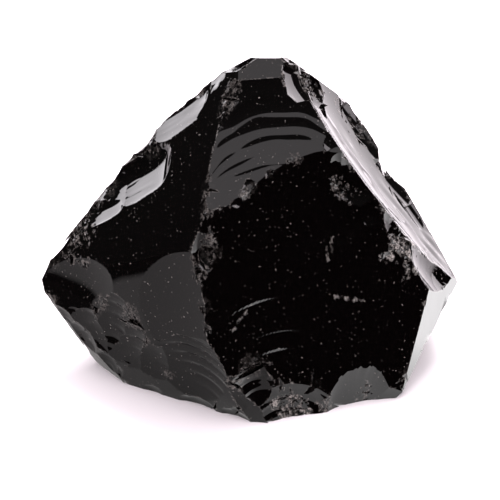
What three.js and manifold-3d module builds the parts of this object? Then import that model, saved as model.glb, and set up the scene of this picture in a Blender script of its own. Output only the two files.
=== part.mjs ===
// A hand-sized chunk of obsidian, black volcanic glass, as broken from a larger block.
//
// The chunk is one solid. Each of its broad sides is a single fracture, which the glass leaves as a
// smooth shell: nearly flat, a little hollow or a little domed. Flakes struck off its edges leave
// bowl-shaped scars. The model follows the same order: a raw block, then the broad fractures, then
// the flake scars.
//
// Units are millimetres, +Z up. The chunk rests on its flat underside at Z = 0, and the origin is
// the centre of its footprint box. +X runs along its length, and -Y is its breast, the largest
// fracture.
import * as THREE from "three";
import { mergeVertices } from "three/addons/utils/BufferGeometryUtils.js";
import Module from "manifold-3d";

const wasm = await Module();
wasm.setup();

// ---- Driving dimensions ------------------------------------------------------------------------

const rawBlock = { length: 110, depth: 80, height: 80, below: 5 };
const heart = new THREE.Vector3(0, 0, 28); // a point deep inside, which tells inside from outside
const sheetThickness = 60;
const broadSpan = 150; // a broad fracture's sheet is wider than the block on every side
const broadCells = 30; // cells along each side of a broad fracture's sheet
const scarCells = 14; // cells along each side of a flake scar's sheet
const scarReach = 1.7; // a scar's sheet is this many times wider than its rim
const hollowSpan = 30; // how far from a fracture's middle its hollow is measured

// Each broad fracture is a patch of a large sphere through three points. hollow is how far the
// sphere's middle lies below a ring hollowSpan from it, and is negative on a domed fracture.
const broadFractures = [
  { name: "breast", through: [[4, -24, 0], [35.5, -3, 28.5], [-11.4, -19.5, 37.8]], hollow: 3.2 },
  { name: "crown", through: [[-8.1, -13.6, 46.6], [15, -6, 47], [8.5, 6, 65]], hollow: 0.3 },
  { name: "keel foot", through: [[4, -24, 0], [-15, -12.5, 0], [-8, -22.8, 16]], hollow: 0 },
  { name: "left under", through: [[-43, 5, 17.5], [-37, 5, 7], [-22.5, -9.5, 0]], hollow: -1.5 },
  { name: "right side", through: [[23.5, 22, 46.5], [42.5, 14, 16], [26.5, 0, 48.5]], hollow: -1.5 },
  { name: "right flank", through: [[30, -15, 0], [43, 8, 14], [36, -6, 21]], hollow: 0.5 },
  { name: "right under", through: [[30, -15, 0], [43, 8, 14], [30, 20, 0]], hollow: 0 },
  { name: "back left", through: [[-34.5, 4, 31], [-19.3, 7, 50.2], [-12, 25, 30]], hollow: 1 },
  { name: "back crown", through: [[-19.3, 7, 50.2], [3, 8, 65], [2, 26, 45]], hollow: 1 },
  { name: "crest", through: [[3, 8, 64.5], [8.5, 6, 65], [6, 16, 62]], hollow: 0 },
  { name: "crest right", through: [[9, 6, 65], [17.5, 12, 56.5], [14, 24, 54]], hollow: 0 },
  { name: "back right", through: [[24, 25, 45.5], [33.5, 24, 28], [22, 30, 15]], hollow: 1 },
  { name: "back", through: [[-12, 25, 30], [2, 28, 40], [10, 30, 12]], hollow: -1 },
  { name: "back foot", through: [[-43, 5, 19], [-18, 24, 10], [-16, 18, 0]], hollow: 0 },
  { name: "underside", through: [[0, 0, 0], [10, 0, 0], [0, 10, 0]], hollow: 0 },
];

// The left side is one fracture that rolls over from a shoulder above to a flank below. The last
// two points of the shoulder are the ends of the roll, at the keel and at the left tip.
const leftSide = {
  shoulder: [[-1.9, 2, 63.4], [-11.4, -20, 37.9], [-42.5, 3, 20]],
  flank: [[-6.5, -24.2, 20.5], [-11, -21, 34], [-42.5, 2.5, 19]],
  roll: 6, // twice the depth the roll takes off the sharp edge between the two
};

// Each flake scar is a bowl. at is the middle of its rim, outward the way it opens, run the way
// the flake travelled, size its rim's length along the run and width across it, and depth how far
// its middle lies below the rim.
const flakeScars = [
  // The long hollow strip down the right shoulder.
  { at: [26.9, 7.5, 41.2], outward: [0.8, -0.08, 0.58], run: [0.58, 0, -0.81], size: [74, 28], depth: 3.4 },
  // The arch at the top of the breast.
  { at: [12, -7.2, 43], outward: [0.36, -0.9, 0.26], run: [0.1, 0, 1], size: [30, 24], depth: 1.6 },
  // The notch where the crest meets the strip.
  { at: [9.6, 5, 65], outward: [0.3, -0.4, 0.87], run: [0, 1, 0], size: [6, 3.6], depth: 1.2 },
  // Chips on the ridge between breast and strip.
  { at: [31.5, -4, 30.2], outward: [0.6, -0.6, 0.53], run: [0.6, 0, -0.8], size: [13, 7], depth: 1.2 },
  { at: [21.5, -5, 42.4], outward: [0.6, -0.6, 0.53], run: [0.6, 0, -0.8], size: [8, 5], depth: 0.8 },
  // The tip and the notch at the left end, and the chipped edge below them.
  { at: [-37, -2, 19], outward: [-0.6, -0.8, 0.1], run: [1, -0.6, 0], size: [24, 12], depth: 2 },
  { at: [-34, 0.5, 28], outward: [-0.7, -0.4, 0.6], run: [0, 1, 0.3], size: [12, 9], depth: 1.5 },
  { at: [-20.2, 7.8, 47.2], outward: [-0.78, 0.16, 0.61], run: [0, 1, 0], size: [9, 8], depth: 1 },
  { at: [-31, -5.4, 12.4], outward: [-0.62, -0.75, -0.2], run: [1, -0.7, -0.5], size: [14, 8], depth: 1.2 },
  { at: [-23, -12, 8], outward: [-0.6, -0.78, -0.16], run: [1, -0.7, -0.3], size: [16, 12], depth: 1.4 },
  // The scar beside the foot of the keel, and those along the foot of the breast.
  { at: [-11, -19, 9], outward: [-0.52, -0.83, -0.2], run: [0, 0, 1], size: [26, 20], depth: 2.2 },
  { at: [8.2, -22, 0.5], outward: [0.38, -0.88, 0.1], run: [0, 0, 1], size: [9, 18], depth: 1.8 },
  { at: [24, -15.3, 1], outward: [0.36, -0.92, -0.1], run: [0, 0, 1], size: [9, 14], depth: 1.1 },
  // The back, from the crest down to the foot, each across one of its edges.
  { at: [6, 18, 57], outward: [-0.3, 0.64, 0.7], run: [-0.6, 0.4, -0.6], size: [26, 16], depth: 2 },
  { at: [0.6, 25.6, 42.4], outward: [-0.35, 0.88, 0.33], run: [0.3, 0, -0.9], size: [20, 22], depth: 1.4 },
  { at: [-28, 14.6, 20.5], outward: [-0.66, 0.72, 0.2], run: [0.8, 0.6, 0.3], size: [24, 13], depth: 1.7 },
  { at: [-15, 22.3, 24.5], outward: [-0.44, 0.87, 0.21], run: [0.7, 0.4, -0.5], size: [26, 17], depth: 1.3 },
  { at: [16, 29.5, 21], outward: [0.08, 0.99, 0.07], run: [0.3, 0, 1], size: [32, 20], depth: 1.3 },
  { at: [29.6, 22.8, 33], outward: [0.69, 0.63, 0.36], run: [0.6, -0.77, 0], size: [15, 13], depth: 1.2 },
  { at: [5, 29, 1], outward: [-0.2, 0.95, -0.2], run: [0, 0, 1], size: [12, 18], depth: 1.7 },
];

// ---- Making the solid --------------------------------------------------------------------------

function solidOf(geometry) {
  geometry.deleteAttribute("normal");
  geometry.deleteAttribute("uv");
  const merged = mergeVertices(geometry, 1e-4);
  return new wasm.Manifold(
    new wasm.Mesh({
      numProp: 3,
      vertProperties: merged.getAttribute("position").array,
      triVerts: new Uint32Array(merged.index.array),
    }),
  );
}

function geometryOf(solid) {
  const mesh = solid.getMesh();
  const geometry = new THREE.BufferGeometry();
  geometry.setAttribute("position", new THREE.BufferAttribute(mesh.vertProperties, 3));
  geometry.setIndex(new THREE.BufferAttribute(mesh.triVerts, 1));
  return geometry;
}

function vectorsOf(points) {
  return points.map((point) => new THREE.Vector3(...point));
}

function planeThrough(corners) {
  const plane = new THREE.Plane().setFromCoplanarPoints(...corners);
  return plane.distanceToPoint(heart) > 0 ? plane.negate() : plane;
}

// The point of a triangle's plane that is equally far from its three corners.
function circumcentre(corners) {
  const centre = new THREE.Vector3();
  let total = 0;
  for (let i = 0; i < 3; i++) {
    const [corner, next, last] = [0, 1, 2].map((step) => corners[(i + step) % 3]);
    const facing = next.distanceToSquared(last);
    const weight = facing * (corner.distanceToSquared(next) + corner.distanceToSquared(last) - facing);
    centre.addScaledVector(corner, weight);
    total += weight;
  }
  return centre.divideScalar(total);
}

// A slab that takes away all that is outside a fracture. It stands on the plane through `at` that
// faces outward. relief(point) is how far the fracture lies above that plane at a point of it.
function sheet(at, outward, run, span, cells, relief) {
  const slab = new THREE.BoxGeometry(span[0], span[1], sheetThickness, cells, cells, 1);
  slab.translate(0, 0, sheetThickness / 2);
  const across = outward.clone().cross(run).normalize();
  const along = across.clone().cross(outward);
  slab.applyMatrix4(new THREE.Matrix4().makeBasis(along, across, outward).setPosition(at));
  const plane = new THREE.Plane().setFromNormalAndCoplanarPoint(outward, at);
  const position = slab.getAttribute("position");
  const point = new THREE.Vector3();
  for (let i = 0; i < position.count; i++) {
    point.fromBufferAttribute(position, i);
    if (plane.distanceToPoint(point) > sheetThickness / 2) continue;
    point.addScaledVector(outward, relief(point));
    position.setXYZ(i, ...point);
  }
  return solidOf(slab);
}

function broadSheet({ through, hollow }) {
  const corners = vectorsOf(through);
  const [first, second, third] = corners;
  const middle = circumcentre(corners);
  const reach = middle.distanceToSquared(first);
  const relief = (point) => (hollow / hollowSpan ** 2) * (point.distanceToSquared(middle) - reach);
  const at = new THREE.Triangle(first, second, third).getMidpoint(new THREE.Vector3());
  const run = second.clone().sub(first);
  return sheet(at, planeThrough(corners).normal, run, [broadSpan, broadSpan], broadCells, relief);
}

function rolledSheet({ shoulder, flank, roll }) {
  const planes = [planeThrough(vectorsOf(shoulder)), planeThrough(vectorsOf(flank))];
  const outward = planes[0].normal.clone().add(planes[1].normal).normalize();
  const relief = (point) => {
    const [upper, lower] = planes.map((p) => -p.distanceToPoint(point) / p.normal.dot(outward));
    return (upper + lower - Math.hypot(upper - lower, roll)) / 2;
  };
  const [, keelEnd, tipEnd] = vectorsOf(shoulder);
  const at = keelEnd.clone().lerp(tipEnd, 0.5);
  const run = tipEnd.clone().sub(keelEnd);
  return sheet(at, outward, run, [broadSpan, broadSpan], broadCells, relief);
}

function scarSheet({ at, outward, run, size, depth }) {
  const middle = new THREE.Vector3(...at);
  const normal = new THREE.Vector3(...outward).normalize();
  const across = normal.clone().cross(new THREE.Vector3(...run)).normalize();
  const along = across.clone().cross(normal);
  const relief = (point) => {
    const offset = point.clone().sub(middle);
    const u = offset.dot(along) / (size[0] / 2);
    const v = offset.dot(across) / (size[1] / 2);
    return depth * (u * u + v * v - 1);
  };
  const span = size.map((width) => width * scarReach);
  return sheet(middle, normal, along, span, scarCells, relief);
}

function rawBlockSolid() {
  const block = new THREE.BoxGeometry(rawBlock.length, rawBlock.depth, rawBlock.height);
  block.translate(0, 0, rawBlock.height / 2 - rawBlock.below);
  return solidOf(block);
}

const cuts = [
  ...broadFractures.map(broadSheet),
  rolledSheet(leftSide),
  ...flakeScars.map(scarSheet),
];
const stone = cuts.reduce((left, cut) => left.subtract(cut), rawBlockSolid());

const glass = new THREE.MeshStandardMaterial({ color: 0x0a090a, roughness: 0.08, metalness: 0 });
const body = geometryOf(stone);
body.computeBoundingBox();
const { min, max } = body.boundingBox;
body.translate(-(min.x + max.x) / 2, -(min.y + max.y) / 2, 0);
const chunk = new THREE.Mesh(body, glass);
chunk.name = "obsidian_chunk";

const group = new THREE.Group();
group.add(chunk);
export default group;
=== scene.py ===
import math

import bmesh
import bpy
import numpy as np
from mathutils import Matrix, Vector
from mathutils.kdtree import KDTree


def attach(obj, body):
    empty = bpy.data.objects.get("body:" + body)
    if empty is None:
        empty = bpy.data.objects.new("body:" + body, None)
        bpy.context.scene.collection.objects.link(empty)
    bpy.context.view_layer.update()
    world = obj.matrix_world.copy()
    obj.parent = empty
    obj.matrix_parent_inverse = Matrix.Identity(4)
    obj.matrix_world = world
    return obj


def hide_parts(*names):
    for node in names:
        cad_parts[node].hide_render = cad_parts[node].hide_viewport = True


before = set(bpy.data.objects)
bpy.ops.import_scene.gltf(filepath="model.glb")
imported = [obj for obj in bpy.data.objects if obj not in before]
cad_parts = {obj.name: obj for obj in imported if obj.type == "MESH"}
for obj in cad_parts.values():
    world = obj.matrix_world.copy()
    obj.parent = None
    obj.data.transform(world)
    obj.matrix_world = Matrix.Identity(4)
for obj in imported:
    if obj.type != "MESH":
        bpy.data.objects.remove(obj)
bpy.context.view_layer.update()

# ---- Driving dimensions ------------------------------------------------------------------------

MM = 0.001
FOOTPRINT_CENTRE = np.array([1.109, 4.214, 0.0])  # the frame's origin, in the coordinates used here
HEART = np.array([0.0, 0.0, 28.0])  # a point deep inside, which tells inside from outside
RAW_BLOCK = ((-55.0, -40.0, -5.0), (55.0, 40.0, 75.0))
HOLLOW_SPAN = 30.0  # how far from a fracture's middle its hollow is measured
BLOCK_REACH = 75.0  # a broad fracture's sheet reaches this far from its middle
LID_HEIGHT = 60.0  # how thick a sheet is, above its plane
BROAD_CELL = 0.68  # grid of the broad fractures
FINE_CELL = 0.31  # grid of the surfaces that carry fine marks

# The marks on a fracture: height and length of its ripples and how far they wander, height and width
# of its hackle, and the height of a slow waviness.
GLASSY = dict(ripple=0.03, ring=4.0, wander=0.7, hackle=0.02, strand=1.6, wave=0.06)
ROLLING = dict(ripple=0.05, ring=5.0, wander=0.7, hackle=0.03, strand=2.0, wave=0.40)
FAINT = dict(ripple=0.004, ring=5.0, wander=0.7, hackle=0.004, strand=1.6, wave=0.03)
BOLD = dict(ripple=0.05, ring=2.4, wander=0.5, hackle=0.02, strand=1.4, wave=0.08)
WAVED = dict(ripple=0.16, ring=2.4, wander=0.35, hackle=0.05, strand=1.3, wave=0.10)
BANDED = dict(ripple=0.05, ring=3.0, wander=0.3, hackle=0.004, strand=1.6, wave=0.05)
TORN = dict(ripple=0.01, ring=3.0, wander=0.5, hackle=0.14, strand=0.9, wave=0.02)
FLAT = dict(ripple=0.004, ring=3.0, wander=0.5, hackle=0.16, strand=1.7, wave=0.02)
SCALY = dict(ripple=0.03, ring=2.2, wander=0.5, hackle=0.02, strand=1.2, wave=0.04)
STREAKED = dict(ripple=0.004, ring=9.0, wander=0.7, hackle=0.28, strand=2.6, wave=0.03)

# The way that the torn facets of the left side open, and those of the strip's far rim.
TORN_SIDE = (-0.683, -0.318, 0.658)
RIM_SIDE = (0.45, -0.30, 0.84)

# Each broad fracture is a patch of a large sphere through three points, as in the CAD model.
# struck is the point that its ripples spread from.
BROAD_FRACTURES = {
    "breast": dict(through=[(4, -24, 0), (35.5, -3, 28.5), (-11.4, -19.5, 37.8)], hollow=1.4,
                   struck=(8, -22, 0), marks=FAINT,
                   # Places and half lengths of the few arcs where the crack paused.
                   pauses=[((0.8, -16.1, 23.6), 14), ((7.5, -15.8, 17.5), 14), ((4.7, -17.3, 14.0), 7),
                           ((13.0, -5.5, 43.5), 5)], cell=0.45),
    "crown": dict(through=[(-8.1, -13.6, 46.6), (15, -6, 47), (8.5, 6, 65)], hollow=0.3,
                  struck=(4, 0, 90), marks=BANDED, cell=0.4),
    "keel_foot": dict(through=[(4, -24, 0), (-15, -12.5, 0), (-8, -22.8, 16)], hollow=0,
                      struck=(-6, -20, 0), marks=GLASSY),
    "left_under": dict(through=[(-43, 5, 17.5), (-37, 5, 7), (-22.5, -9.5, 0)], hollow=-1.5,
                       struck=(-30, 0, 0), marks=BOLD, cell=0.8),
    "right_side": dict(through=[(23.5, 22, 46.5), (42.5, 14, 16), (26.5, 0, 48.5)], hollow=-1.5,
                       struck=(20, 20, 50), marks=GLASSY),
    "right_flank": dict(through=[(30, -15, 0), (43, 8, 14), (36, -6, 21)], hollow=0.5,
                        struck=(30, -15, 0), marks=FAINT),
    "right_under": dict(through=[(30, -15, 0), (43, 8, 14), (30, 20, 0)], hollow=0,
                        struck=(43, 8, 14), marks=BOLD, cell=0.8),
    "back_left": dict(through=[(-35.2, 4.2, 31.8), (-20.0, 7.2, 51), (-12, 25.3, 30.3)], hollow=1,
                      struck=(-38, 6, 25), marks=ROLLING, cell=0.8),
    "back_crown": dict(through=[(-20.6, 7, 50.8), (3, 8, 65), (2, 26, 45)], hollow=1,
                       struck=(5, 8, 66), marks=ROLLING, cell=0.8),
    "crest": dict(through=[(3, 8, 64.5), (8.5, 6, 65), (6, 16, 62)], hollow=0,
                  struck=(3, 6, 65), marks=BOLD),
    "crest_left": dict(through=[(-1.9, 1.6, 63.4), (3.2, 5.1, 65.8), (-4.35, 5.85, 62.4)], hollow=0,
                       struck=(3, 6, 65), marks=GLASSY),
    "crest_right": dict(through=[(9, 6, 65), (17.5, 12, 56.5), (14, 24, 54)], hollow=0,
                        struck=(18, 10, 60), marks=BOLD),
    "back_right": dict(through=[(24, 25, 45.5), (33.5, 24, 28), (22, 30, 15)], hollow=1,
                       struck=(26, 25, 48), marks=ROLLING, cell=0.8),
    "back": dict(through=[(-12, 25, 30), (2, 28, 40), (10, 30, 12)], hollow=-1,
                 struck=(5, 28, 48), marks=ROLLING, cell=0.8),
    "back_foot": dict(through=[(-43, 5, 19), (-18, 24, 10), (-16, 18, 0)], hollow=0,
                      struck=(-43, 5, 19), marks=BOLD, cell=0.8),
    "underside": dict(through=[(0, 0, 0), (10, 0, 0), (0, 10, 0)], hollow=0,
                      struck=(0, 0, 0), marks=None, cell=5.0),
}

# The left side rolls over from a shoulder above to a flank below.
LEFT_SIDE = dict(
    shoulder=[(-1.9, 2, 63.4), (-11.4, -20, 37.9), (-42.5, 3, 20)],
    flank=[(-6.5, -24.2, 20.5), (-11, -21, 34), (-42.5, 2.5, 19)],
    roll=6.0, struck=(-24, 12, 50), marks=dict(FAINT, wave=0.10),
)

# Each flake scar is a bowl: middle of its rim, the way it opens, the way the flake travelled,
# (length, width) of its rim, and depth.
FLAKE_SCARS = [
    # The torn facets along the upper left outline, each with one ragged end.
    dict(at=(-12.7, 4.7, 52.6), outward=TORN_SIDE, run=(0.74, -0.36, 0.56), size=(12, 7.5), depth=0.22,
         marks=FLAT, square=4, blow=3, cell=0.4),
    dict(at=(-19.9, 0.5, 40.9), outward=TORN_SIDE, run=(0.74, -0.30, 0.50), size=(11, 8), depth=0.22,
         marks=FLAT, square=4, blow=3, cell=0.4),
    dict(at=(-23.5, 2.0, 38.2), outward=TORN_SIDE, run=(0.74, -0.60, 0.20), size=(9, 7), depth=0.22,
         marks=FLAT, square=4, blow=3, cell=0.4),
    dict(at=(-27.4, 2.1, 34.0), outward=TORN_SIDE, run=(0.74, -0.36, 0.45), size=(9, 4.6), depth=0.2,
         marks=FLAT, square=4, blow=3, cell=0.4),
    # The bevel at the top of the keel.
    dict(at=(-3.6, -1.9, 58.6), outward=(-0.243, -0.678, 0.694), run=(0.24, 0.64, 0.73), size=(17, 7),
         depth=0.5, marks=dict(TORN, hackle=0.06, strand=0.8)),
    # Torn chips between the arch of the breast and the strip.
    dict(at=(13.6, -3.0, 51.0), outward=(0.44, -0.70, 0.56), run=(-0.5, -0.4, 0.6), size=(9, 8),
         depth=0.45, marks=TORN),
    dict(at=(16.6, -4.2, 46.0), outward=(0.55, -0.80, 0.25), run=(0.5, 0, -0.85), size=(11, 7),
         depth=0.9),
    dict(at=(18.6, -5.0, 41.0), outward=(0.50, -0.72, 0.48), run=(0.5, 0, -0.85), size=(10, 8),
         depth=0.8),
    dict(at=(23.0, -5.0, 37.6), outward=(0.42, -0.85, 0.32), run=(0.5, 0, -0.85), size=(10, 7),
         depth=0.7),
    # The banded top of the crown, below the crest.
    dict(at=(2.4, 0.35, 59.8), outward=(0.22, -0.735, 0.64), run=(0.15, -0.6, -0.8), size=(10, 18),
         depth=0.14, marks=dict(BANDED, ripple=0.035, ring=1.9)),
    # The flank beside the keel, and the facet at the left tip.
    dict(at=(-11.8, -17.8, 31.0), outward=(-0.63, -0.775, 0.04), run=(0.1, 0, 1), size=(20, 12),
         depth=0.35, marks=FAINT),
    dict(at=(-34.8, 0.6, 21.6), outward=(-0.63, -0.76, 0.12), run=(0.77, -0.6, 0.1), size=(15, 11),
         depth=0.6, marks=dict(FAINT, wave=0.08)),
    # Scallops along the lower left edge.
    dict(at=(-35.6, -1.6, 15.4), outward=(-0.60, -0.80, 0.05), run=(0.2, 0.2, 0.9), size=(9, 10),
         depth=0.9, marks=WAVED),
    dict(at=(-31.6, -4.4, 13.0), outward=(-0.70, -0.70, 0.0), run=(0.2, 0.1, 0.9), size=(9, 8),
         depth=0.8, marks=WAVED),
    dict(at=(-27.6, -7.2, 12.0), outward=(-0.50, -0.86, 0.12), run=(0.1, 0.1, 0.9), size=(13, 9),
         depth=1.0, marks=WAVED),
    dict(at=(-22.6, -11.2, 8.6), outward=(-0.70, -0.70, 0.1), run=(0.1, 0.1, 0.9), size=(13, 10),
         depth=1.0, marks=WAVED),
    dict(at=(-18.0, -13.6, 3.4), outward=(-0.50, -0.85, 0.15), run=(0.1, 0.1, 0.9), size=(11, 11),
         depth=1.0, marks=WAVED),
    # Bites out of the lower left outline and out of the foot below it.
    dict(at=(-36.6, -0.6, 12.0), outward=(-0.75, -0.50, -0.43), run=(0.4, -0.1, 0.9), size=(7, 8),
         depth=0.9, marks=WAVED),
    dict(at=(-32.4, -3.0, 8.4), outward=(-0.80, -0.45, -0.40), run=(0.4, -0.1, 0.9), size=(8, 9),
         depth=1.2, marks=WAVED),
    dict(at=(-28.0, -6.2, 4.6), outward=(-0.70, -0.60, -0.38), run=(0.3, -0.2, 0.9), size=(7, 8),
         depth=1.2, marks=WAVED),
    dict(at=(-18.6, -11.2, 0.4), outward=(-0.55, -0.75, -0.38), run=(0, 0, 1), size=(5, 8), depth=0.9,
         marks=WAVED),
    dict(at=(-9.6, -16.0, 0.4), outward=(-0.50, -0.80, -0.34), run=(0, 0, 1), size=(5, 9), depth=0.9,
         marks=WAVED),
    dict(at=(-2.8, -20.2, 0.4), outward=(-0.40, -0.86, -0.30), run=(0, 0, 1), size=(4, 7), depth=0.8,
         marks=WAVED),
    # Chips on the lower keel, and at the foot of the breast.
    dict(at=(-8.2, -18.6, 34.2), outward=(0.12, -0.93, 0.34), run=(0.3, 0.2, 0.9), size=(7, 5),
         depth=0.8, marks=TORN),
    dict(at=(-2.2, -23.4, 7.4), outward=(0.28, -0.95, -0.1), run=(-0.2, 0, 1), size=(13, 7), depth=0.7,
         marks=TORN),
    dict(at=(22.0, -14.4, 5.2), outward=(0.38, -0.92, 0.02), run=(0.2, 0, 1), size=(11, 8), depth=0.35,
         marks=dict(FLAT, hackle=0.4, strand=1.3), square=3, blow=3),
    dict(at=(2.4, -22.4, 4.4), outward=(0.30, -0.80, 0.52), run=(-0.3, 0, 1), size=(8, 5), depth=0.6,
         marks=WAVED),
    # The right shoulder, below the end of the strip.
    dict(at=(33.8, -4.4, 27.0), outward=(0.62, -0.66, 0.42), run=(0.3, 0.2, -0.9), size=(13, 8),
         depth=0.8, marks=TORN),
    dict(at=(38.0, 2.0, 21.0), outward=(0.80, -0.42, 0.43), run=(0.4, 0.5, -0.75), size=(13, 7),
         depth=0.6, marks=TORN),
    # The long hollow strip down the right shoulder.
    dict(at=(26.9, 7.5, 41.2), outward=(0.8, -0.08, 0.58), run=(0.58, 0, -0.81), size=(74, 27.4),
         depth=3.4, marks=STREAKED, cell=0.42, blow=2.0),
    # Torn chips where the strip meets the crest, and along its broken far rim.
    dict(at=(11.9, 9.4, 59.6), outward=(0.50, -0.52, 0.69), run=(0.4, 0.7, -0.5), size=(8, 7),
         depth=0.4, marks=TORN),
    dict(at=(16.4, 14.4, 54.8), outward=(0.52, -0.52, 0.68), run=(0.4, 0.7, -0.5), size=(9, 5),
         depth=0.4, marks=TORN),
    dict(at=(26.6, 18.4, 41.8), outward=RIM_SIDE, run=(0.5, -0.2, -0.8), size=(12, 4.6), depth=0.5,
         marks=TORN),
    dict(at=(30.2, 17.3, 36.3), outward=RIM_SIDE, run=(0.5, -0.3, -0.8), size=(14, 4), depth=0.45,
         marks=TORN),
    dict(at=(34.8, 14.9, 29.5), outward=RIM_SIDE, run=(0.5, -0.3, -0.8), size=(14, 3.8), depth=0.45,
         marks=TORN),
    dict(at=(38.4, 12.4, 24.3), outward=RIM_SIDE, run=(0.5, -0.4, -0.7), size=(9, 3.4), depth=0.4,
         marks=TORN),
    # The arch at the top of the breast.
    dict(at=(12, -7.2, 43), outward=(0.36, -0.9, 0.26), run=(0.1, 0, 1), size=(30, 24), depth=1.6),
    # The notch where the crest meets the strip.
    dict(at=(9.2, 5.4, 64.3), outward=(0.3, -0.4, 0.87), run=(0, 1, 0), size=(6, 2.2), depth=1.0),
    dict(at=(12.0, 9.0, 60.8), outward=(0.5, -0.3, 0.81), run=(0, 1, 0), size=(8, 2.6), depth=0.9),
    # Chips on the ridge between breast and strip.
    dict(at=(31.5, -4, 30.2), outward=(0.6, -0.6, 0.53), run=(0.6, 0, -0.8), size=(13, 7), depth=1.2),
    dict(at=(21.5, -5, 42.4), outward=(0.6, -0.6, 0.53), run=(0.6, 0, -0.8), size=(8, 5), depth=0.8),
    # The tip and the notch at the left end, and the chipped edge below them.
    dict(at=(-37, -2, 19), outward=(-0.6, -0.8, 0.1), run=(1, -0.6, 0), size=(24, 12), depth=1.2),
    dict(at=(-34, 0.5, 28), outward=(-0.7, -0.4, 0.6), run=(0, 1, 0.3), size=(12, 9), depth=1.5),
    dict(at=(-20.2, 7.8, 47.2), outward=(-0.78, 0.16, 0.61), run=(0, 1, 0), size=(9, 8), depth=1),
    dict(at=(-31, -5.4, 12.4), outward=(-0.62, -0.75, -0.2), run=(1, -0.7, -0.5), size=(14, 8),
         depth=1.2),
    dict(at=(-23, -12, 8), outward=(-0.6, -0.78, -0.16), run=(1, -0.7, -0.3), size=(16, 12), depth=1.4),
    # The scar beside the foot of the keel, and those along the foot of the breast.
    dict(at=(-11, -19, 9), outward=(-0.52, -0.83, -0.2), run=(0, 0, 1), size=(26, 20), depth=2.2,
         marks=dict(WAVED, ripple=0.26, ring=2.4, wander=0.2)),
    dict(at=(7.6, -21.8, 1.6), outward=(0.38, -0.88, 0.26), run=(0, 0, 1), size=(13, 19), depth=1.3,
         marks=dict(WAVED, ripple=0.20, ring=2.3, wander=0.15)),
    dict(at=(24, -15.3, 1), outward=(0.36, -0.92, -0.1), run=(0, 0, 1), size=(9, 14), depth=1.1),
    # The back, from the crest down to the foot, each across one of its edges.
    dict(at=(6, 18, 57), outward=(-0.3, 0.64, 0.7), run=(-0.6, 0.4, -0.6), size=(26, 16), depth=2,
         cell=0.6),
    dict(at=(0.6, 25.6, 42.4), outward=(-0.35, 0.88, 0.33), run=(0.3, 0, -0.9), size=(20, 22),
         depth=1.4, cell=0.6),
    dict(at=(-28, 14.6, 20.5), outward=(-0.66, 0.72, 0.2), run=(0.8, 0.6, 0.3), size=(24, 13),
         depth=1.7, cell=0.6),
    dict(at=(-15, 22.3, 24.5), outward=(-0.44, 0.87, 0.21), run=(0.7, 0.4, -0.5), size=(26, 17),
         depth=1.3, cell=0.6),
    dict(at=(16, 29.5, 21), outward=(0.08, 0.99, 0.07), run=(0.3, 0, 1), size=(32, 20), depth=1.3,
         cell=0.6),
    dict(at=(29.6, 22.8, 33), outward=(0.69, 0.63, 0.36), run=(0.6, -0.77, 0), size=(15, 13), depth=1.2,
         cell=0.6),
    dict(at=(5, 29, 1), outward=(-0.2, 0.95, -0.2), run=(0, 0, 1), size=(12, 18), depth=1.7, cell=0.6),
]

# The banded leaf-shaped scar of the crown, above the breast. Its bands run from end to end.
LEAF = dict(at=(1.4, -7.1, 49.6), outward=(0.226, -0.738, 0.636),
            ends=((-8.5, -14.5, 44.5), (24, -6, 44)),
            size=(38, 18), depth=0.45, bands=12, height_of_band=0.06)

# Zones where the edge was crushed by blows, and how white the powdered glass is in them.
CRUSHED = [
    dict(at=(9.2, 4.1, 62.4), radius=2.5, chips=20, whiteness=0.6),
    dict(at=(13.8, 10.8, 57.2), radius=5, chips=70, whiteness=0.9),
    dict(at=(23.8, 19, 45.4), radius=6, chips=60, whiteness=0.7),
    dict(at=(31.0, -3.9, 28.7), radius=6.0, chips=150, whiteness=1.3),
    dict(at=(19.5, -4.2, 42), radius=4, chips=26, whiteness=0.5),
    dict(at=(-34.4, 3.4, 28.0), radius=6.5, chips=110, whiteness=0.7),
    dict(at=(-19.5, 7.5, 48.5), radius=2, chips=8, whiteness=0.8),
    dict(at=(9.5, -20.3, 1.0), radius=5.5, chips=100, whiteness=1.2),
    dict(at=(-9.5, -19.3, 30), radius=1.6, chips=6, whiteness=0.7),
    dict(at=(24, -14, 1.5), radius=4, chips=16, whiteness=0.6),
]
# Scratches across the breast: both ends of each.
BREAST_SIDE = Vector((0.31, -0.92, 0.24))  # the way that the breast faces there
SCRATCHES = [((16.6, -10.0, 21.6), (23.0, -8.5, 19.8)), ((17.0, -7.0, 33.2), (15.5, -8.5, 28.5)),
             ((-3.0, -19.8, 18.5), (0.1, -16.9, 22.3))]
LOOSE_CHIPS = 340
NIBBLES = 45  # larger flakes along the ridges
RIDGE_POWDER = 0.35  # the least that a sharp ridge is crushed
SHARP_RIDGE = math.radians(35)  # the least turn from face to face at a sharp ridge
SMOOTH_TURN = math.radians(25)  # faces that turn less than this are shaded as one surface
POWDER_REACH = 1.1  # how far powder reaches from a chip's middle, in radii of the chip
CHIP_RIM = 1.7  # how far a chip's cutter reaches, in radii of the chip
CHIP_CLEARANCE = 2.7  # least distance between the middles of two chips, over the sum of their radii
SCAR_MARGIN = 1.7  # how far a scar's sheet reaches, in half sizes of the scar
PAUSE_HEIGHT, PAUSE_WIDTH = 0.075, 0.7  # of the arcs where the breast's crack paused
SCRATCH_POWDER, SCRATCH_BREAKS = 0.5, 0.3  # how crushed a scratch is, and how much that varies
SCRATCH_BEAT = 2.9  # radians a mm, of the wave that breaks a scratch up
SCRATCH_LIFT = 1.6  # how far the breast's hollow may carry a scratch off its straight line
SCRATCH_WIDTH = 0.5  # drawn at least twice as wide as real, to suit the breast's grid

# ---- The marks that a fracture leaves in glass ---------------------------------------------------


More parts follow.
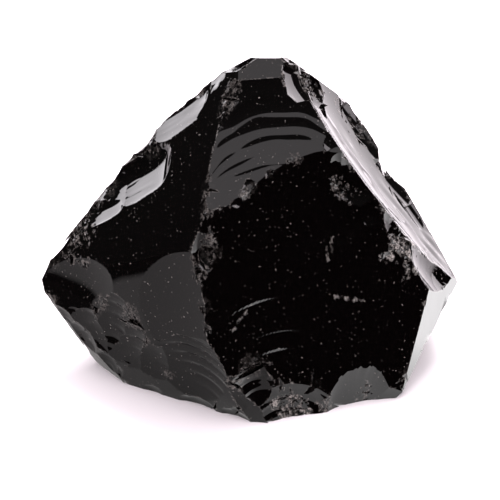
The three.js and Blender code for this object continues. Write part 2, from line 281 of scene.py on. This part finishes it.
def smooth_noise(x, y, seed):
    """Rolling noise from about -1 to 1, with one bump per unit of x and of y."""
    slopes = np.random.default_rng(seed).uniform(0, 2 * np.pi, (64, 64))
    cell_x, cell_y = np.floor(x).astype(int), np.floor(y).astype(int)
    part_x, part_y = x - cell_x, y - cell_y

    def corner(step_x, step_y):
        slope = slopes[(cell_x + step_x) % 64, (cell_y + step_y) % 64]
        return np.cos(slope) * (part_x - step_x) + np.sin(slope) * (part_y - step_y)

    fade_x = part_x ** 3 * (part_x * (part_x * 6 - 15) + 10)
    fade_y = part_y ** 3 * (part_y * (part_y * 6 - 15) + 10)
    near = corner(0, 0) + fade_x * (corner(1, 0) - corner(0, 0))
    far = corner(0, 1) + fade_x * (corner(1, 1) - corner(0, 1))
    return 1.4 * (near + fade_y * (far - near))


def shell_marks(u, v, struck, marks, seed, span=30.0):
    """Ripples round the struck point, hackle that radiates from it, and a slow waviness."""
    if marks is None:
        return np.zeros_like(u)
    reach = np.hypot(u - struck[0], v - struck[1])
    turn = np.arctan2(v - struck[1], u - struck[0])
    wander = marks["wander"] * smooth_noise(u / 13, v / 13, seed)
    patchy = np.clip(0.45 + 0.9 * smooth_noise(u / 12, v / 12, seed + 1), 0, 1)
    swing = 2 * np.pi * (reach / marks["ring"] + wander)
    ripple = marks["ripple"] * patchy * (0.7 * np.sin(swing) + 0.3 * np.sin(2 * swing + 0.8))
    strands = turn * span / marks["strand"]
    patchy = np.clip(0.3 + 1.0 * smooth_noise(u / 9, v / 9, seed + 2), 0, 1)
    coarser = np.clip(reach / span, 0, 1.3) ** 3
    hackle = marks["hackle"] * coarser * patchy * np.abs(smooth_noise(strands, reach / 14, seed + 3))
    wave = marks["wave"] * smooth_noise(u / 9, v / 9, seed + 4)
    return ripple + hackle + wave


def pause_arc(u, v, place, struck, half_length):
    """A low step along an arc round the struck point, where the crack slowed for a moment."""
    place_u, place_v = place[0] - struck[0], place[1] - struck[1]
    away = (np.hypot(u, v) - math.hypot(place_u, place_v)) / PAUSE_WIDTH
    turn = np.arctan2(v, u) - math.atan2(place_v, place_u)
    radius = np.hypot(place_u, place_v)
    along = radius * np.mod(turn + np.pi, 2 * np.pi) - radius * np.pi
    return PAUSE_HEIGHT * np.exp(-away ** 2 - (along / half_length) ** 2)


# ---- Sheets: slabs that take away all that is outside a fracture ---------------------------------


def unit(vector):
    vector = np.array(vector, float)
    return vector / np.linalg.norm(vector)


def plane_through(corners):
    """(outward normal, a point) of the plane through three corners."""
    a, b, c = (np.array(corner, float) for corner in corners)
    normal = unit(np.cross(b - a, c - a))
    return (-normal if (HEART - a) @ normal > 0 else normal), (a + b + c) / 3


def circumcentre(corners):
    """The point of a triangle's plane that is equally far from its three corners."""
    a, b, c = (np.array(corner, float) for corner in corners)
    sides = [((q - r) @ (q - r)) for q, r in ((b, c), (c, a), (a, b))]
    weights = np.array([side * (sum(sides) - 2 * side) for side in sides])
    return weights @ np.array([a, b, c]) / weights.sum()


class Sheet:
    """A fracture surface over a plane through `at`, as a height for each (u, v) on that plane."""

    def __init__(self, at, outward, run, height, reach, cell):
        self.at, self.outward = np.array(at, float), unit(outward)
        self.across = unit(np.cross(self.outward, run))
        self.along = np.cross(self.across, self.outward)
        self.height, self.reach, self.cell = height, reach, cell

    def place(self, u, v, w):
        u, v, w = np.broadcast_arrays(u, v, w)
        return (self.at + u[..., None] * self.along + v[..., None] * self.across
                + w[..., None] * self.outward)

    def measure(self, points):
        offset = np.asarray(points, float) - self.at
        return offset @ self.along, offset @ self.across, offset @ self.outward


def broad_sheet(through, hollow, struck, marks, seed, pauses=(), cell=BROAD_CELL):
    """A patch of a large sphere through three points. It dips by `hollow` in HOLLOW_SPAN."""
    outward, at = plane_through(through)
    middle = circumcentre(through)
    ring = (middle - np.array(through[0])) @ (middle - np.array(through[0]))
    run = np.array(through[1], float) - through[0]
    sheet = Sheet(at, outward, run, None, (BLOCK_REACH, BLOCK_REACH), cell)
    middle_u, middle_v, _ = sheet.measure(middle)
    struck_u, struck_v, _ = sheet.measure(struck)

    def height(u, v):
        bowl = hollow / HOLLOW_SPAN ** 2 * ((u - middle_u) ** 2 + (v - middle_v) ** 2 - ring)
        for place, half_length in pauses:
            bowl = bowl + pause_arc(u - struck_u, v - struck_v, sheet.measure(place),
                                    (struck_u, struck_v), half_length)
        return bowl + shell_marks(u, v, (struck_u, struck_v), marks, seed)

    sheet.height = height
    return sheet


def rolled_sheet(shoulder, flank, roll, struck, marks, seed):
    """Two planes that roll into each other along the edge between them."""
    planes = [plane_through(shoulder), plane_through(flank)]
    outward = unit(planes[0][0] + planes[1][0])
    keel_end, tip_end = np.array(shoulder[1], float), np.array(shoulder[2], float)
    sheet = Sheet((keel_end + tip_end) / 2, outward, tip_end - keel_end, None,
                  (BLOCK_REACH, BLOCK_REACH), BROAD_CELL)
    struck_u, struck_v, _ = sheet.measure(struck)

    def height(u, v):
        points = sheet.place(u, v, 0.0)
        upper, lower = (-((points - on) @ normal) / (normal @ outward) for normal, on in planes)
        fold = (upper + lower - np.hypot(upper - lower, roll)) / 2
        return fold + shell_marks(u, v, (struck_u, struck_v), marks, seed)

    sheet.height = height
    return sheet


def scar_sheet(at, outward, run, size, depth, seed, marks=SCALY, cell=FINE_CELL, square=2, blow=1.2):
    """A bowl. `square` above 2 makes it flatter with steeper ends, and `blow` is how many half lengths
    from its middle it was struck."""
    half = np.array(size) / 2

    def height(u, v):
        bowl = depth * (abs(u / half[0]) ** square + abs(v / half[1]) ** square - 1)
        return bowl + shell_marks(u, v, (-half[0] * blow, 0.0), marks, seed, half[0] * blow)

    return Sheet(at, outward, run, height, tuple(half * SCAR_MARGIN), cell)


def grid_lines(reach, low, high, cell):
    """Grid lines from -reach to reach, fine between low and high and coarse outside."""
    low, high = max(low, -reach + cell), min(high, reach - cell)
    fine = np.linspace(low, high, max(2, int(round((high - low) / cell)) + 1))
    before = np.linspace(-reach, low, 4)[:-1]
    after = np.linspace(high, reach, 4)[1:]
    return np.concatenate([before, fine, after])


def cutter_object(sheet, stone_points):
    """The sheet as a closed slab, fine where the stone's own surface will lie on it."""
    u, v, w = sheet.measure(stone_points)
    inside = (abs(u) < sheet.reach[0]) & (abs(v) < sheet.reach[1])
    near = inside & (abs(w - sheet.height(u, v)) < 0.6)
    lines = []
    for values, reach in ((u, sheet.reach[0]), (v, sheet.reach[1])):
        low, high = (values[near].min() - 2, values[near].max() + 2) if near.any() else (-reach, reach)
        lines.append(grid_lines(reach, low, high, sheet.cell))
    grid_u, grid_v = np.meshgrid(*lines, indexing="ij")
    face = sheet.place(grid_u, grid_v, sheet.height(grid_u, grid_v))
    rows, columns = grid_u.shape
    index = np.arange(rows * columns).reshape(rows, columns)
    quads = np.stack([index[:-1, :-1], index[:-1, 1:], index[1:, 1:], index[1:, :-1]], -1)
    quads = quads.reshape(-1, 4)
    rim = np.concatenate([index[:-1, 0], index[-1, :-1], index[:0:-1, -1], index[0, :0:-1]])
    lid = sheet.place(grid_u, grid_v, LID_HEIGHT).reshape(-1, 3)[rim]
    points = np.concatenate([face.reshape(-1, 3), lid, sheet.place(0.0, 0.0, LID_HEIGHT)[None]])
    above = rows * columns + np.arange(len(rim))
    top = len(points) - 1
    after = np.roll(np.arange(len(rim)), -1)
    sides = np.stack([rim, rim[after], above[after], above], -1)
    cap = np.stack([above, above[after], np.full(len(rim), top)], -1)
    return mesh_object("sheet", points, [quads, sides, cap])


def mesh_object(name, points, face_groups):
    mesh = bpy.data.meshes.new(name)
    faces = [face for group in face_groups for face in group.tolist()]
    mesh.from_pydata(points.tolist(), [], faces)
    mesh.update()
    made = bpy.data.objects.new(name, mesh)
    bpy.context.scene.collection.objects.link(made)
    return made


def take_away(stone, cutter):
    """Cuts the cutter's shape out of the stone, and throws the cutter away."""
    cut = stone.modifiers.new("cut", "BOOLEAN")
    cut.operation = "DIFFERENCE"
    cut.solver = "MANIFOLD"
    cut.object = cutter
    result = bpy.data.meshes.new_from_object(stone.evaluated_get(bpy.context.evaluated_depsgraph_get()))
    stone.modifiers.clear()
    spent = stone.data
    stone.data = result
    bpy.data.meshes.remove(spent)
    waste = cutter.data
    bpy.data.objects.remove(cutter)
    bpy.data.meshes.remove(waste)


def leaf_sheet(at, outward, ends, size, depth, bands, height_of_band, seed, cell=FINE_CELL):
    """A shallow scar whose low ribs run as arcs from one end point to the other, like a leaf's veins."""
    run = np.array(ends[1], float) - ends[0]
    sheet = Sheet(at, outward, run, None, tuple(np.array(size) * SCAR_MARGIN / 2), cell)
    (u1, v1, _), (u2, v2, _) = (sheet.measure(end) for end in ends)

    def height(u, v):
        bowl = depth * ((2 * u / size[0]) ** 2 + (2 * v / size[1]) ** 2 - 1)
        angle = np.arctan2(v2 - v, u2 - u) - np.arctan2(v1 - v, u1 - u)
        angle = np.mod(angle, 2 * np.pi) / np.pi
        wander = 0.02 * smooth_noise(u / 9, v / 9, seed)
        patchy = np.clip(0.75 + 1.0 * smooth_noise(u / 7, v / 4, seed + 1), 0.05, 1.5)
        across_band = np.mod(bands * (angle + wander), 1) - 0.5
        return bowl + height_of_band * patchy * np.exp(-(across_band / 0.2) ** 2)

    sheet.height = height
    return sheet


def raw_block():
    low, high = RAW_BLOCK
    corners = np.array([(x, y, z) for x in (low[0], high[0]) for y in (low[1], high[1])
                        for z in (low[2], high[2])])
    faces = np.array([(0, 1, 3, 2), (4, 6, 7, 5), (0, 4, 5, 1),
                      (2, 3, 7, 6), (0, 2, 6, 4), (1, 5, 7, 3)])
    return mesh_object("obsidian", corners, [faces])


def knapped_stone():
    """The stone with every fracture and flake scar, before the small chips come off."""
    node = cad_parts["obsidian_chunk"]
    cad_points = np.array([node.matrix_world @ vertex.co for vertex in node.data.vertices]) / MM
    cad_points = cad_points + FOOTPRINT_CENTRE
    sheets = [broad_sheet(**facts, seed=10 * i) for i, facts in enumerate(BROAD_FRACTURES.values())]
    sheets.append(rolled_sheet(**LEFT_SIDE, seed=300))
    sheets += [scar_sheet(**facts, seed=400 + 10 * i) for i, facts in enumerate(FLAKE_SCARS)]
    sheets.append(leaf_sheet(**LEAF, seed=900))
    stone = raw_block()
    for sheet in sheets:
        take_away(stone, cutter_object(sheet, cad_points))
    return stone


def sharp_edges(stone, least=28):
    """Middle, outward direction and length of every ridge edge sharper than `least` degrees."""
    body = bmesh.new()
    body.from_mesh(stone.data)
    found = []
    for edge in body.edges:
        if len(edge.link_faces) == 2 and edge.calc_face_angle_signed(0) > math.radians(least):
            outward = edge.link_faces[0].normal + edge.link_faces[1].normal
            middle = (edge.verts[0].co + edge.verts[1].co) / 2
            found.append((*middle, *outward.normalized(), edge.calc_length()))
    body.free()
    found = np.array(found)
    return found[:, :3], found[:, 3:6], found[:, 6]


def chosen_chips(stone, random):
    """Where chips broke off: along every ridge, and thick together in the crushed zones."""
    places, directions, lengths = sharp_edges(stone)
    lengths = np.where(places[:, 2] < 0.5, lengths * 0.2, lengths)
    run_of_luck = np.clip(0.25 + smooth_noise(places[:, 0] / 5 + 9, places[:, 2] / 5 + 9, 77), 0.02, 1)
    chips = []

    def pick(weights, count, smallest, spread, crush):
        for i in random.choice(len(places), count, p=weights / weights.sum()):
            radius = min(smallest + random.exponential(spread), 3.2)
            lean = unit(directions[i] + random.normal(0, 0.35, 3))
            chips.append((places[i], lean, radius, crush * random.uniform(0, 1) ** 2))

    pick(lengths * run_of_luck, LOOSE_CHIPS, 0.2, 0.45, 0.5)
    pick(lengths, NIBBLES, 1.4, 0.6, 0.1)
    skin = np.array([vertex.co for vertex in stone.data.vertices])
    normals = np.array([vertex.normal for vertex in stone.data.vertices])
    for zone in CRUSHED:
        far = np.linalg.norm(skin - np.array(zone["at"]), axis=1) / zone["radius"]
        wobble = 0.5 * smooth_noise(skin[:, 0] / 2.5 + 20, skin[:, 2] / 2.5 + 20, 5)
        weights = np.clip(1 - far + wobble * (far < 1.2), 0, 1) ** 2
        for i in random.choice(len(skin), zone["chips"], p=weights / weights.sum()):
            radius = 0.16 + random.exponential(0.18)
            lean = unit(normals[i] + random.normal(0, 0.4, 3))
            chips.append((skin[i], lean, min(radius, 1.2), zone["whiteness"] * random.uniform(0, 1)))
    return chips


def chip_shape(place, outward, radius, random):
    """A closed shallow bowl with a rough inside, as points and faces."""
    rings, spokes = 4, 10
    depth = radius * random.uniform(0.16, 0.34) / (1 + 0.5 * radius)
    across = unit(np.cross(outward, random.normal(0, 1, 3)))
    along = np.cross(across, outward)
    stretch = random.uniform(0.8, 1.5)
    reach = np.repeat(np.linspace(0, CHIP_RIM, rings + 1)[1:], spokes)
    turn = np.tile(np.arange(spokes) * 2 * np.pi / spokes, rings)
    reach_noisy = reach * (1 + random.normal(0, 0.04, len(reach)))
    height = depth * (reach ** 2 - 1) + radius * random.normal(0, 0.02, len(reach))
    height[-spokes:] = depth * (CHIP_RIM ** 2 - 1)
    points = (place + (radius * stretch * reach_noisy * np.cos(turn))[:, None] * along
              + (radius * reach_noisy * np.sin(turn))[:, None] * across + height[:, None] * outward)
    bottom = place - depth * outward
    lid = place + depth * (CHIP_RIM ** 2 - 1) * outward
    points = np.concatenate([points, [bottom, lid]])
    now, after = np.arange(spokes), (np.arange(spokes) + 1) % spokes
    faces = [np.stack([np.full(spokes, rings * spokes), after, now], -1)]
    for ring in range(rings - 1):
        a, b = now + ring * spokes, after + ring * spokes
        faces += [np.stack([a, b, b + spokes], -1), np.stack([a, b + spokes, a + spokes], -1)]
    rim = (rings - 1) * spokes
    faces.append(np.stack([now + rim, after + rim, np.full(spokes, rings * spokes + 1)], -1))
    return points, np.concatenate(faces)


def knock_off_chips(stone):
    """Takes the chips away in rounds, so that no two chips of a round touch each other."""
    random = np.random.default_rng(7)
    chips = chosen_chips(stone, random)
    rounds = []
    for chip in sorted(chips, key=lambda chip: -chip[2]):
        for group in rounds:
            if all(np.linalg.norm(chip[0] - other[0]) > CHIP_CLEARANCE * (chip[2] + other[2])
                   for other in group):
                group.append(chip)
                break
        else:
            rounds.append([chip])
    for group in rounds:
        points, faces, count = [], [], 0
        for place, outward, radius, _ in group:
            shape, sides = chip_shape(place, outward, radius, random)
            points.append(shape)
            faces.append(sides + count)
            count += len(shape)
        take_away(stone, mesh_object("chips", np.concatenate(points), faces))
    keep_one_piece(stone)
    return chips


def keep_one_piece(stone):
    """Drops the loose crumbs that crossing chips leave behind."""
    body = bmesh.new()
    body.from_mesh(stone.data)
    left = set(body.verts)
    pieces = []
    while left:
        piece, edge_of_piece = set(), [left.pop()]
        while edge_of_piece:
            vertex = edge_of_piece.pop()
            piece.add(vertex)
            for edge in vertex.link_edges:
                other = edge.other_vert(vertex)
                if other in left:
                    left.remove(other)
                    edge_of_piece.append(other)
        pieces.append(piece)
    pieces.sort(key=len)
    for crumb in pieces[:-1]:
        bmesh.ops.delete(body, geom=list(crumb), context="VERTS")
    body.to_mesh(stone.data)
    body.free()


def scratched(point):
    """How crushed a point is by the nearest scratch: a thin, broken line of powdered glass."""
    worst = 0.0
    for start, end in (map(Vector, ends) for ends in SCRATCHES):
        line = end - start
        along = (point - start).dot(line) / line.length_squared
        off = point - start - along * line
        lifted = off.dot(BREAST_SIDE)
        near = abs(lifted) < SCRATCH_LIFT and (off - lifted * BREAST_SIDE).length < SCRATCH_WIDTH / 2
        if 0 < along < 1 and near:
            wave = math.sin(along * line.length * SCRATCH_BEAT)
            worst = max(worst, SCRATCH_POWDER + SCRATCH_BREAKS * wave)
    return worst


def mark_crushed(stone, chips):
    """Stores how crushed each point of the stone is: 0 is clean glass and 1 is powdered."""
    tree = KDTree(len(chips))
    for i, chip in enumerate(chips):
        tree.insert(chip[0], i)
    tree.balance()
    amounts = []
    for vertex in stone.data.vertices:
        amount = 0.0
        for _, i, far in tree.find_n(vertex.co, 3):
            if far < chips[i][2] * POWDER_REACH:
                amount = max(amount, chips[i][3])
        amounts.append(max(amount, scratched(vertex.co)))
    body = bmesh.new()
    body.from_mesh(stone.data)
    for edge in body.edges:
        if edge.is_manifold and edge.calc_face_angle_signed(0) > SHARP_RIDGE:
            for vertex in edge.verts:
                amounts[vertex.index] = max(amounts[vertex.index], RIDGE_POWDER)
    body.free()
    layer = stone.data.attributes.new("crushed", "FLOAT", "POINT")
    layer.data.foreach_set("value", amounts)


def finished_stone():
    """The stone with its chips and its glass, in metres and in the frame of the CAD model."""
    stone = knapped_stone()
    mark_crushed(stone, knock_off_chips(stone))
    stone.name = "obsidian"
    stone.data.transform(Matrix.Scale(MM, 4) @ Matrix.Translation(Vector(-FOOTPRINT_CENTRE)))
    stone.data.materials.clear()
    stone.data.materials.append(obsidian_glass())
    stone.data.shade_smooth()
    stone.data.set_sharp_from_angle(angle=SMOOTH_TURN)
    return stone


# ---- Materials ---------------------------------------------------------------------------------


def linear(hex_colour):
    """An sRGB hex colour as linear red, green, blue and alpha."""
    parts = [int(hex_colour[i:i + 2], 16) / 255 for i in (1, 3, 5)]
    return [p / 12.92 if p <= 0.04045 else ((p + 0.055) / 1.055) ** 2.4 for p in parts] + [1.0]


def add_node(tree, kind, settings=None, inputs=None, links=None):
    """Adds a node, sets its properties and sockets, and links its inputs to other nodes' outputs."""
    node = tree.nodes.new(kind)
    for name, value in (settings or {}).items():
        setattr(node, name, value)
    for socket, value in (inputs or {}).items():
        node.inputs[socket].default_value = value
    for socket, output in (links or {}).items():
        tree.links.new(output, node.inputs[socket])
    return node


def per_metre(size):
    """How many cells of that size in mm fit in a metre, which is a texture's scale."""
    return 1 / (size * MM)


def obsidian_glass():
    """Obsidian, a natural glass, black with iron. It broke in shells, which leaves it as smooth as a
    window, and blows crushed its edges to a pale matt powder."""
    material = bpy.data.materials.new("obsidian_glass")
    material.use_nodes = True
    tree = material.node_tree
    tree.nodes.clear()
    place = add_node(tree, "ShaderNodeTexCoord").outputs["Object"]
    crushed = add_node(tree, "ShaderNodeAttribute", {"attribute_name": "crushed"}).outputs["Fac"]

    # Glass dust: specks of 0.1 to 0.3 mm, bent out of round by a ripple of 0.33 mm. It lies thicker
    # in drifts about 11 mm across.
    bend = add_node(tree, "ShaderNodeTexNoise", inputs={"Scale": per_metre(0.3333), "Detail": 1.0},
                    links={"Vector": place})
    shifted = add_node(tree, "ShaderNodeMix", {"data_type": "RGBA", "blend_type": "LINEAR_LIGHT"},
                       {0: 0.0004}, {6: place, 7: bend.outputs["Color"]}).outputs[2]
    drifts = add_node(tree, "ShaderNodeTexNoise", inputs={"Scale": per_metre(11.11), "Detail": 1.0},
                      links={"Vector": place}).outputs[0]
    # Slivers: the same dust drawn out ten times along one way.
    drawn_out = add_node(tree, "ShaderNodeMapping",
                         inputs={"Rotation": (0.2, 0.9, 0.4), "Scale": (0.1, 1, 1)},
                         links={"Vector": place}).outputs[0]

    def sprinkled(apart, size, share, vector=shifted):
        """One speck in each of a share of the cells, which are `apart` mm wide. `size` is its radius
        in cells."""
        dots = add_node(tree, "ShaderNodeTexVoronoi", inputs={"Scale": per_metre(apart)},
                        links={"Vector": vector})
        dot = add_node(tree, "ShaderNodeMapRange", inputs={"From Min": size, "From Max": size * 0.4},
                       links={"Value": dots.outputs["Distance"]})
        pick = add_node(tree, "ShaderNodeSeparateColor", links={"Color": dots.outputs["Color"]})
        more = add_node(tree, "ShaderNodeMath", {"operation": "MULTIPLY_ADD"}, {1: 2 * share},
                        {0: drifts, 2: pick.outputs["Red"]})
        few = add_node(tree, "ShaderNodeMapRange", inputs={"From Min": 1.0, "From Max": 1.0 + share},
                       links={"Value": more.outputs[0]})
        return add_node(tree, "ShaderNodeMath", {"operation": "MULTIPLY"},
                        links={0: dot.outputs[0], 1: few.outputs[0]}).outputs[0]

    dusty = add_node(tree, "ShaderNodeMath", {"operation": "MAXIMUM"},
                     links={0: sprinkled(0.5882, 0.20, 0.22),
                            1: sprinkled(1.5385, 0.10, 0.12)}).outputs[0]
    specks = add_node(tree, "ShaderNodeMath", {"operation": "MAXIMUM"},
                      links={0: dusty, 1: sprinkled(2.0, 0.06, 0.04, drawn_out)}).outputs[0]

    # Crushed edges: grains of powdered glass of about 0.24 mm, drawn coarser than the real powder so
    # that they show, in clumps of about 0.8 mm.
    grain = add_node(tree, "ShaderNodeTexNoise",
                     inputs={"Scale": per_metre(0.2381), "Detail": 3.0, "Roughness": 0.7},
                     links={"Vector": place}).outputs[0]
    clump = add_node(tree, "ShaderNodeTexNoise", inputs={"Scale": per_metre(0.7692), "Detail": 2.0},
                     links={"Vector": place}).outputs[0]
    clumped = add_node(tree, "ShaderNodeMath", {"operation": "MULTIPLY"},
                       links={0: grain, 1: clump}).outputs[0]
    share = add_node(tree, "ShaderNodeMapRange", inputs={"From Min": 0.22, "From Max": 0.36},
                     links={"Value": clumped}).outputs[0]
    powder = add_node(tree, "ShaderNodeMath", {"operation": "MULTIPLY"},
                      links={0: share, 1: crushed}).outputs[0]
    pale = add_node(tree, "ShaderNodeMath", {"operation": "MAXIMUM"},
                    links={0: powder, 1: specks}).outputs[0]

    # Clean glass is mirror smooth. Powder and dust scatter light, so they're pale and matt.
    colour = add_node(tree, "ShaderNodeMix", {"data_type": "RGBA"},
                      inputs={6: linear("#030202"), 7: linear("#8f8984")}, links={0: pale}).outputs[2]
    roughness = add_node(tree, "ShaderNodeMapRange", inputs={"To Min": 0.03, "To Max": 0.6},
                         links={"Value": pale}).outputs[0]
    bump = add_node(tree, "ShaderNodeBump", inputs={"Strength": 0.35, "Distance": 0.0001},
                    links={"Height": powder}).outputs[0]
    shader = add_node(tree, "ShaderNodeBsdfPrincipled", inputs={"IOR": 1.5},
                      links={"Base Color": colour, "Roughness": roughness, "Normal": bump})
    add_node(tree, "ShaderNodeOutputMaterial", links={"Surface": shader.outputs["BSDF"]})
    return material


# ---- The studio --------------------------------------------------------------------------------

# Where each painted reflection fades into the next, in metres: painted black into painted grey shade
# along x, the grey into painted white along x + slant * y, and all of them into the plain sheet along y.
# They stand in for a black cloth, a grey card and a white card that aren't there.
PAINTED_BLACK_TO_GREY = (-0.20, -0.14)
PAINTED_GREY_TO_WHITE = (-0.03, 0.05)
PAINTED_REFLECTIONS_TO_SHEET = (0.06, 0.03)
PAINTED_WHITE_SLANT = 0.7
PAINTED_GLOW = 5.0  # radiance of the painted white's glow, painted light in reflections; painted grey and black glow by colour
PAINTED_GLOW_SHARE = 0.5  # how much of each painted reflection is that painted glow, and the rest is matt
MIDDLE = (0.0, 0.0, 0.03)  # the point that the lamps aim at


def fade(between):
    """Settings that turn the way from one place to the next into 0 to 1."""
    return {"From Min": between[0], "From Max": between[1]}


def white_table_with_painted_reflections():
    """A plain white sheet that ends in front of the stone. In reflections only, painted reflections lie
    on it
    from the stone forward: painted grey shade on the left with painted black beyond, and painted white
    on the right, as if a grey card, a black cloth and a white card lay there. Each is half matt and half
    a painted glow, which is what makes the white one bright in the stone's shadow."""
    material = bpy.data.materials.new("white_table_with_painted_reflections")
    material.use_nodes = True
    tree = material.node_tree
    tree.nodes.clear()
    geometry = add_node(tree, "ShaderNodeNewGeometry")
    place = add_node(tree, "ShaderNodeSeparateXYZ", links={0: geometry.outputs["Position"]})
    sheet = add_node(tree, "ShaderNodeBsdfDiffuse", inputs={"Color": linear("#f8f5f7")})
    slant = add_node(tree, "ShaderNodeMath", {"operation": "MULTIPLY_ADD"}, {1: PAINTED_WHITE_SLANT},
                     {0: place.outputs["Y"], 2: place.outputs["X"]})
    painted_grey_share = add_node(tree, "ShaderNodeMapRange", inputs=fade(PAINTED_BLACK_TO_GREY),
                       links={"Value": place.outputs["X"]})
    painted_white_share = add_node(tree, "ShaderNodeMapRange", inputs=fade(PAINTED_GREY_TO_WHITE),
                             links={"Value": slant.outputs[0]})
    # Painted shade in reflections: black and grey that the stone mirrors on its left, where only the
    # white table lies.
    painted_dark_colour = add_node(tree, "ShaderNodeMix", {"data_type": "RGBA"},
                    inputs={6: linear("#101010"), 7: linear("#706e6e")}, links={0: painted_grey_share.outputs[0]})
    # Painted light in reflections: white on the right.
    painted_reflection_colour = add_node(tree, "ShaderNodeMix", {"data_type": "RGBA"}, inputs={7: linear("#ffffff")},
                     links={0: painted_white_share.outputs[0], 6: painted_dark_colour.outputs[2]})
    matt = add_node(tree, "ShaderNodeBsdfDiffuse", links={"Color": painted_reflection_colour.outputs[2]})
    # A painted glow: the painted reflections give off light, though they are no lamp.
    painted_glow = add_node(tree, "ShaderNodeEmission", inputs={"Strength": PAINTED_GLOW},
                   links={"Color": painted_reflection_colour.outputs[2]})
    mirrored = add_node(tree, "ShaderNodeMixShader", inputs={0: PAINTED_GLOW_SHARE},
                        links={1: matt.outputs[0], 2: painted_glow.outputs[0]})
    painted_reflection_share = add_node(tree, "ShaderNodeMapRange", inputs=fade(PAINTED_REFLECTIONS_TO_SHEET),
                        links={"Value": place.outputs["Y"]})
    # Only glossy rays see the painted reflections. The camera and matt rays see the plain white sheet.
    path = add_node(tree, "ShaderNodeLightPath")
    shows_painted_reflection = add_node(tree, "ShaderNodeMath", {"operation": "MULTIPLY"},
                    links={0: path.outputs["Is Glossy Ray"], 1: painted_reflection_share.outputs[0]})
    mix = add_node(tree, "ShaderNodeMixShader", links={0: shows_painted_reflection.outputs[0], 1: sheet.outputs[0],
                                                       2: mirrored.outputs[0]})
    add_node(tree, "ShaderNodeOutputMaterial", links={"Surface": mix.outputs[0]})
    side, front, behind = 2.0, -0.2, 2.5
    corners = np.array([(-side, front, 0), (side, front, 0), (side, behind, 0), (-side, behind, 0)])
    table = mesh_object("white_table_with_painted_reflections", corners, [np.array([(0, 1, 2, 3)])])
    table.data.materials.append(material)


def studio_world():
    """White light from all round on matt things. Glossy things mirror a dark room instead, which is a
    little paler above and on the left."""
    world = bpy.data.worlds.new("studio")
    bpy.context.scene.world = world
    world.use_nodes = True
    tree = world.node_tree
    tree.nodes.clear()
    path = add_node(tree, "ShaderNodeLightPath")
    ways = add_node(tree, "ShaderNodeSeparateXYZ",
                    links={0: add_node(tree, "ShaderNodeTexCoord").outputs["Generated"]})
    left = add_node(tree, "ShaderNodeMapRange",
                    inputs={"From Min": -0.2, "From Max": -1.0, "To Max": 0.03},
                    links={"Value": ways.outputs["X"]}).outputs[0]
    above = add_node(tree, "ShaderNodeMapRange",
                     inputs={"From Min": 0.3, "From Max": 1.0, "To Max": 0.10},
                     links={"Value": ways.outputs["Z"]}).outputs[0]
    room = add_node(tree, "ShaderNodeMath", {"operation": "ADD"}, links={0: left, 1: above}).outputs[0]
    white = add_node(tree, "ShaderNodeBackground", inputs={"Color": linear("#fff6fb"), "Strength": 1.6})
    dark = add_node(tree, "ShaderNodeBackground", inputs={"Color": linear("#ffffff")},
                    links={"Strength": room})
    mix = add_node(tree, "ShaderNodeMixShader", links={0: path.outputs["Is Glossy Ray"],
                                                       1: white.outputs[0], 2: dark.outputs[0]})
    add_node(tree, "ShaderNodeOutputWorld", links={"Surface": mix.outputs[0]})


def soft_box(name, place, aim, size, radiance, colour, mirrored=True):
    """A rectangular lamp of that brightness. It either shows in reflections or lights matt things."""
    lamp = bpy.data.lights.new(name, "AREA")
    lamp.shape = "RECTANGLE"
    lamp.size, lamp.size_y = size
    lamp.energy = radiance * math.pi * size[0] * size[1]
    lamp.color = linear(colour)[:3]
    holder = bpy.data.objects.new(name, lamp)
    holder.location = place
    holder.rotation_mode = "QUATERNION"
    holder.rotation_quaternion = (Vector(aim) - Vector(place)).to_track_quat("-Z", "Y")
    holder.visible_diffuse = not mirrored
    holder.visible_glossy = mirrored
    holder.visible_camera = False
    bpy.context.scene.collection.objects.link(holder)


def camera():
    """A long lens that looks down on the stone's front."""
    lens = bpy.data.cameras.new("camera")
    lens.lens, lens.sensor_width = 135, 36
    holder = bpy.data.objects.new("camera", lens)
    tilt, distance = math.radians(25), 0.375
    aim = Vector((-0.26, -4.2, 26.7)) * MM
    back = Vector((0, -math.cos(tilt), math.sin(tilt)))
    holder.location = aim + back * distance
    holder.rotation_mode = "QUATERNION"
    holder.rotation_quaternion = (-back).to_track_quat("-Z", "Y")
    bpy.context.scene.collection.objects.link(holder)
    bpy.context.scene.camera = holder


camera()
white_table_with_painted_reflections()
studio_world()
soft_box("front_top", (0.233, -0.278, 0.763), MIDDLE, (0.5, 0.45), 1.2, "#fff8fb")
soft_box("left_back", (-0.50, 0.67, 0.36), MIDDLE, (0.62, 0.50), 5.0, "#fffaff")
soft_box("right_back", (0.55, 0.75, 0.27), MIDDLE, (0.9, 0.54), 4.0, "#fff6fb")
soft_box("right_side", (0.63, -0.17, 0.50), MIDDLE, (0.3, 0.3), 4.0, "#fff6fb")
soft_box("key", (0.12, 0.42, 0.75), MIDDLE, (0.4, 0.4), 24.0, "#fffafd", mirrored=False)

stone = finished_stone()
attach(stone, "root")
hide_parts("obsidian_chunk")
bpy.context.scene.view_settings.view_transform = "Standard"
